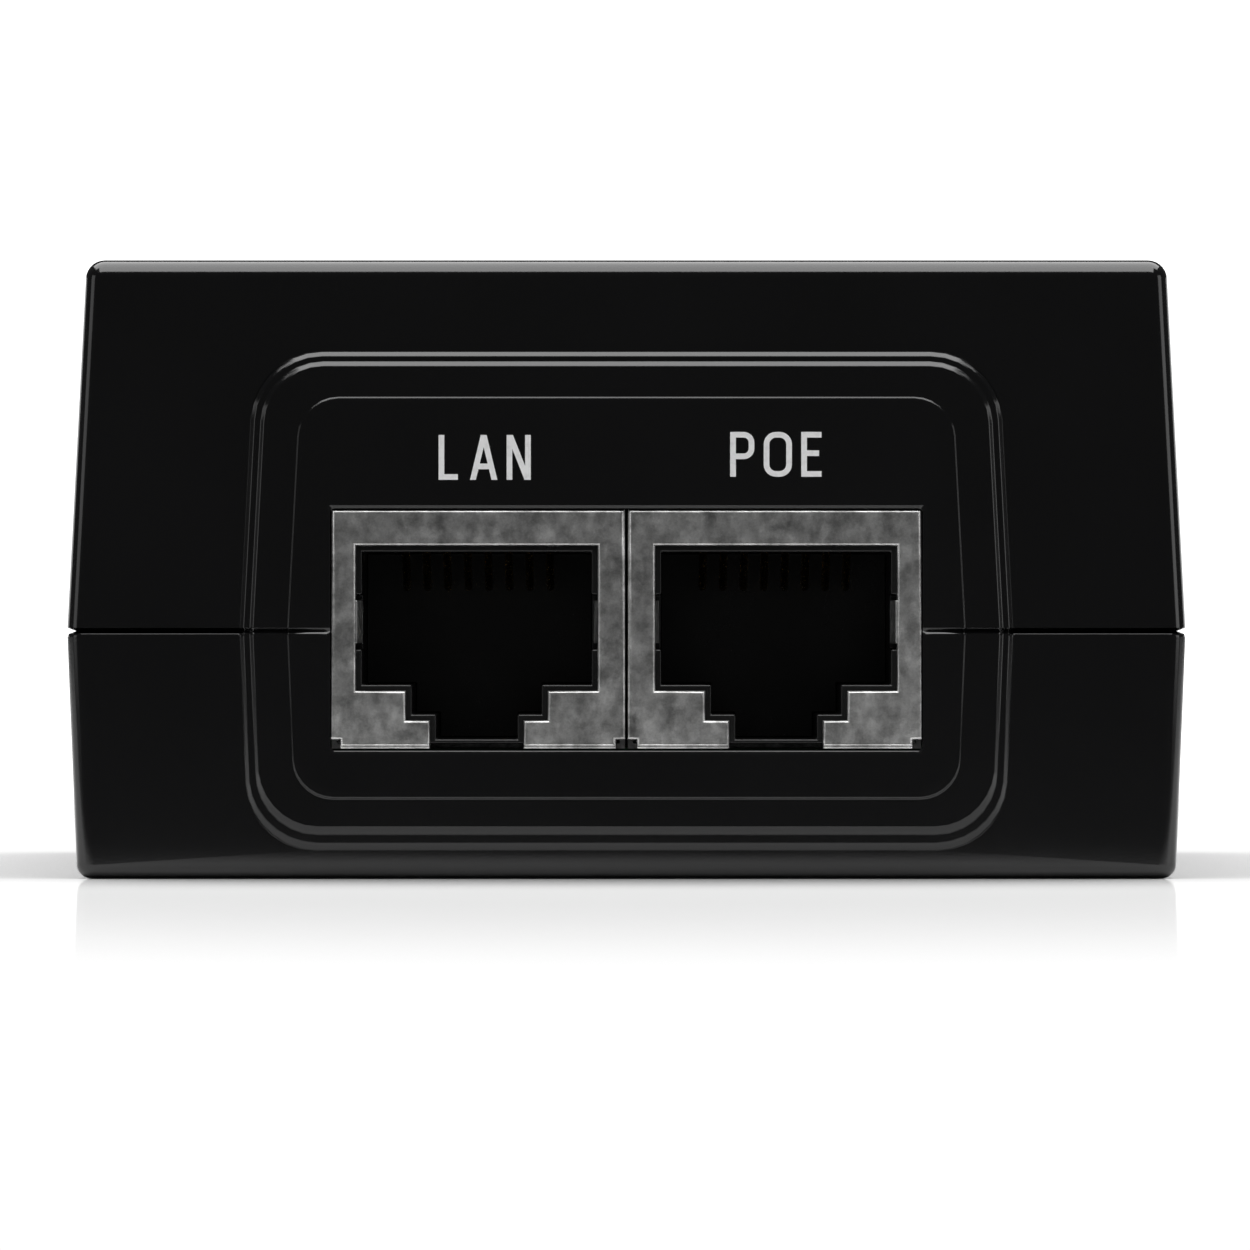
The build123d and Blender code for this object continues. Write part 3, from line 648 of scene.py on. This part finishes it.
def inlet_pin(name, node, x, z, tip):
    """Round contact pin with a domed nose."""
    bm = bmesh.new()
    nose, radius, root, steps = 0.8, 1.18, 31.6, 6
    angles = [pi / 2 * step / steps for step in range(1, steps + 1)]
    dome = [(radius - nose + nose * cos(angle), tip - nose + nose * sin(angle)) for angle in angles]
    profile = [(0, root), (radius, root), (radius, tip - nose)] + dome + [(0, tip)]
    verts = [bm.verts.new((r * MM, y * MM, 0)) for r, y in profile]
    edges = [bm.edges.new(pair) for pair in zip(verts, verts[1:])]
    bmesh.ops.spin(bm, geom=verts + edges, cent=(0, 0, 0), axis=(0, 1, 0), angle=2 * pi, steps=40,
                   use_merge=True)
    bmesh.ops.translate(bm, verts=bm.verts, vec=(x * MM, 0, z * MM))
    return settle(bm, name, PIN_NICKEL, [node])


inlet_body()
inlet_pin("line_pin", "inlet_line_pin", -PIN_SPACING, PIN_ROW, LIVE_TIP)
inlet_pin("neutral_pin", "inlet_neutral_pin", PIN_SPACING, PIN_ROW, LIVE_TIP)
inlet_pin("earth_pin", "inlet_earth_pin", 0, EARTH_ROW, EARTH_TIP)


# ---------------------------------------------------------------- carried-over nodes
CARRIED = {
    "rating_label": LABEL_SILVER, "main_board": BOARD_GREEN, "insulation_film": FILM_CLEAR,
    "underside_chips": EPOXY_BLACK, "lan_jack_insert": JACK_BLACK, "poe_jack_insert": JACK_BLACK,
    "lan_jack_tails": CONTACT_GOLD, "poe_jack_tails": CONTACT_GOLD, "input_fuse": EPOXY_BLACK,
    "surge_disc": DISC_BLUE, "filter_capacitor": BOX_YELLOW, "choke_core": FERRITE_GREY,
    "choke_coil_line": COPPER_COIL, "choke_coil_neutral": COPPER_COIL, "bridge_rectifier": EPOXY_BLACK,
    "reservoir_capacitor": SLEEVE_DARK, "transformer_core": FERRITE_GREY, "transformer_bobbin": EPOXY_BLACK,
    "transformer_windings": TAPE_YELLOW, "switch_heat_sink": SINK_METAL, "power_switch": EPOXY_BLACK,
    "output_diode_heat_sink": SINK_METAL, "output_diode": EPOXY_BLACK, "bridging_capacitor": DISC_BLUE,
    "feedback_coupler": EPOXY_BLACK, "smoothing_capacitors": SLEEVE_DARK,
    "output_choke_core": FERRITE_GREY, "output_choke_coil": COPPER_COIL, "data_transformer": EPOXY_BLACK}
for node, material in CARRIED.items():
    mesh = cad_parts[node].data
    mesh.materials.clear()
    mesh.materials.append(material)


# ---------------------------------------------------------------- stage, lights, camera
WHITE = 1.05


def bare_material(name):
    """A fresh node material with nothing but its output."""
    material = bpy.data.materials.new(name)
    material.use_nodes = True
    material.node_tree.nodes.clear()
    return material, material.node_tree, material.node_tree.nodes.new("ShaderNodeOutputMaterial")


def eased(tree, value, start, end, smooth=True):
    """Value eased from 0 at the start to 1 at the end."""
    node = tree.nodes.new("ShaderNodeMapRange")
    node.interpolation_type = "SMOOTHSTEP" if smooth else "LINEAR"
    node.inputs["From Min"].default_value = start
    node.inputs["From Max"].default_value = end
    link(tree, value, node.inputs["Value"])
    return node


def floor_material():
    """Pale floor: polished near the object, with a painted contact shadow (ambient occlusion darkens its
    colour for camera rays), plain lit white further out.

    Plastic reflects only the strip of floor close to it, so the end face stays black.
    """
    material, tree, out = bare_material("pale_floor")
    seen = tree.nodes.new("ShaderNodeLightPath").outputs["Is Camera Ray"]
    place = tree.nodes.new("ShaderNodeTexCoord").outputs["Object"]
    matte = tree.nodes.new("ShaderNodeBsdfDiffuse")
    # painted contact shadow: ambient occlusion darkens the floor's matte colour close to the object; only
    # camera rays see it, reflections see the plain 0.7 grey
    painted_contact_shadow = tree.nodes.new("ShaderNodeAmbientOcclusion")
    painted_contact_shadow.inputs["Color"].default_value = (0.58, 0.58, 0.58, 1)
    painted_contact_shadow.inputs["Distance"].default_value = 0.035
    tone = tree.nodes.new("ShaderNodeMix")
    tone.data_type = "RGBA"
    tone.inputs["A"].default_value = (0.7, 0.7, 0.7, 1)
    link(tree, seen, tone.inputs["Factor"])
    link(tree, painted_contact_shadow.outputs["Color"], tone.inputs["B"])
    link(tree, tone.outputs["Result"], matte.inputs["Color"])
    gloss = tree.nodes.new("ShaderNodeBsdfGlossy")
    gloss.inputs["Roughness"].default_value = 0.04
    glance = tree.nodes.new("ShaderNodeFresnel")
    glance.inputs["IOR"].default_value = 1.45
    share = tree.nodes.new("ShaderNodeMath")
    share.operation = "MULTIPLY"
    share.inputs[1].default_value = 0.34
    link(tree, glance.outputs["Fac"], share.inputs[0])
    polish = tree.nodes.new("ShaderNodeMixShader")
    link(tree, share.outputs["Value"], polish.inputs["Fac"])
    link(tree, matte.outputs["BSDF"], polish.inputs[1])
    link(tree, gloss.outputs["BSDF"], polish.inputs[2])

    lit = tree.nodes.new("ShaderNodeEmission")
    lit.inputs["Color"].default_value = (1, 1, 1, 1)
    strength = eased(tree, seen, 0, 1, smooth=False)
    strength.inputs["To Min"].default_value = 0.1
    strength.inputs["To Max"].default_value = WHITE
    link(tree, strength.outputs["Result"], lit.inputs["Strength"])

    oval = tree.nodes.new("ShaderNodeMapping")
    oval.inputs["Scale"].default_value = (2.4, 1, 1)
    oval.inputs["Location"].default_value = (0, 0.03, 0)
    link(tree, place, oval.inputs["Vector"])
    length = tree.nodes.new("ShaderNodeVectorMath")
    length.operation = "LENGTH"
    link(tree, oval.outputs["Vector"], length.inputs[0])
    split = tree.nodes.new("ShaderNodeSeparateXYZ")
    link(tree, place, split.inputs["Vector"])
    away = eased(tree, length.outputs["Value"], 0.075, 0.25)
    ahead = eased(tree, split.outputs["Y"], -0.052, -0.07)
    choice = tree.nodes.new("ShaderNodeMix")
    link(tree, seen, choice.inputs["Factor"])
    link(tree, ahead.outputs["Result"], choice.inputs["A"])
    link(tree, away.outputs["Result"], choice.inputs["B"])
    mix = tree.nodes.new("ShaderNodeMixShader")
    link(tree, choice.outputs["Result"], mix.inputs["Fac"])
    link(tree, polish.outputs["Shader"], mix.inputs[1])
    link(tree, lit.outputs["Emission"], mix.inputs[2])
    link(tree, mix.outputs["Shader"], out.inputs["Surface"])
    return material


def glow_material():
    """Evenly lit white card."""
    material, tree, out = bare_material("white_card")
    lit = tree.nodes.new("ShaderNodeEmission")
    lit.inputs["Strength"].default_value = 1.6
    link(tree, lit.outputs["Emission"], out.inputs["Surface"])
    return material


def stage_sheet(name, half_x, half_y, matrix, material):
    """Flat rectangle of the studio."""
    bm = bmesh.new()
    scaled = matrix @ Matrix.Diagonal((half_x, half_y, 1, 1))
    bmesh.ops.create_grid(bm, x_segments=1, y_segments=1, size=1.0, matrix=scaled)
    mesh = bpy.data.meshes.new(name)
    bm.to_mesh(mesh)
    bm.free()
    sheet = bpy.data.objects.new(name, mesh)
    mesh.materials.append(material)
    bpy.context.scene.collection.objects.link(sheet)


def soft_box(name, place, aim, width, height, power):
    """Rectangular soft light that faces a point."""
    lamp = bpy.data.lights.new(name, "AREA")
    lamp.shape = "RECTANGLE"
    lamp.size, lamp.size_y, lamp.energy = width, height, power
    holder = bpy.data.objects.new(name, lamp)
    holder.location = place
    holder.rotation_mode = "QUATERNION"
    holder.rotation_quaternion = (Vector(aim) - Vector(place)).to_track_quat("-Z", "Y")
    bpy.context.scene.collection.objects.link(holder)


def make_world():
    """Even white surroundings to the eye, a dim room as a light source."""
    world = bpy.data.worlds.new("studio")
    bpy.context.scene.world = world
    world.use_nodes = True
    tree = world.node_tree
    tree.nodes.clear()
    out = tree.nodes.new("ShaderNodeOutputWorld")
    seen = tree.nodes.new("ShaderNodeBackground")
    seen.inputs["Color"].default_value = (1, 1, 1, 1)
    seen.inputs["Strength"].default_value = WHITE
    fill = tree.nodes.new("ShaderNodeBackground")
    fill.inputs["Color"].default_value = (1, 1, 1, 1)
    fill.inputs["Strength"].default_value = 0.08
    path = tree.nodes.new("ShaderNodeLightPath")
    mix = tree.nodes.new("ShaderNodeMixShader")
    link(tree, path.outputs["Is Camera Ray"], mix.inputs["Fac"])
    link(tree, fill.outputs["Background"], mix.inputs[1])
    link(tree, seen.outputs["Background"], mix.inputs[2])
    link(tree, mix.outputs["Shader"], out.inputs["Surface"])


def make_camera():
    """Long lens straight in front of the ports, level, at mid-height of the frame."""
    camera = bpy.data.cameras.new("camera")
    distance, view_width, left_of_middle, height = 0.75, 0.0616, 0.00007, 0.0125
    camera.sensor_width = 36.0
    camera.lens = camera.sensor_width * distance / view_width
    camera.clip_start, camera.clip_end = 0.01, 20
    holder = bpy.data.objects.new("camera", camera)
    holder.location = (-left_of_middle, FACE_Y * MM - distance, height)
    holder.rotation_euler = (pi / 2, 0, 0)
    bpy.context.scene.collection.objects.link(holder)
    bpy.context.scene.camera = holder


stage_sheet("floor", 0.3, 0.3, Matrix.Translation((0, 0, -0.00002)), floor_material())
standing = Matrix.Translation((0, 4.0, 0.167)) @ Matrix.Rotation(pi / 2, 4, "X")
stage_sheet("backdrop", 5.3, 0.233, standing, glow_material())
make_world()
soft_box("overhead", (0, 0.2, 0.8), (0, 0.2, 0), 1.4, 0.8, 15)
soft_box("front_high", (0, -0.42, 0.72), (0, 0, 0.015), 0.8, 0.5, 5.4)
soft_box("right_side", (0.7, -0.3, 0.12), (0, -0.04, 0.015), 0.3, 0.3, 0.4)
soft_box("left_side", (-0.7, -0.3, 0.12), (0, -0.04, 0.015), 0.3, 0.3, 0.26)
make_camera()
bpy.context.scene.view_settings.view_transform = "Standard"
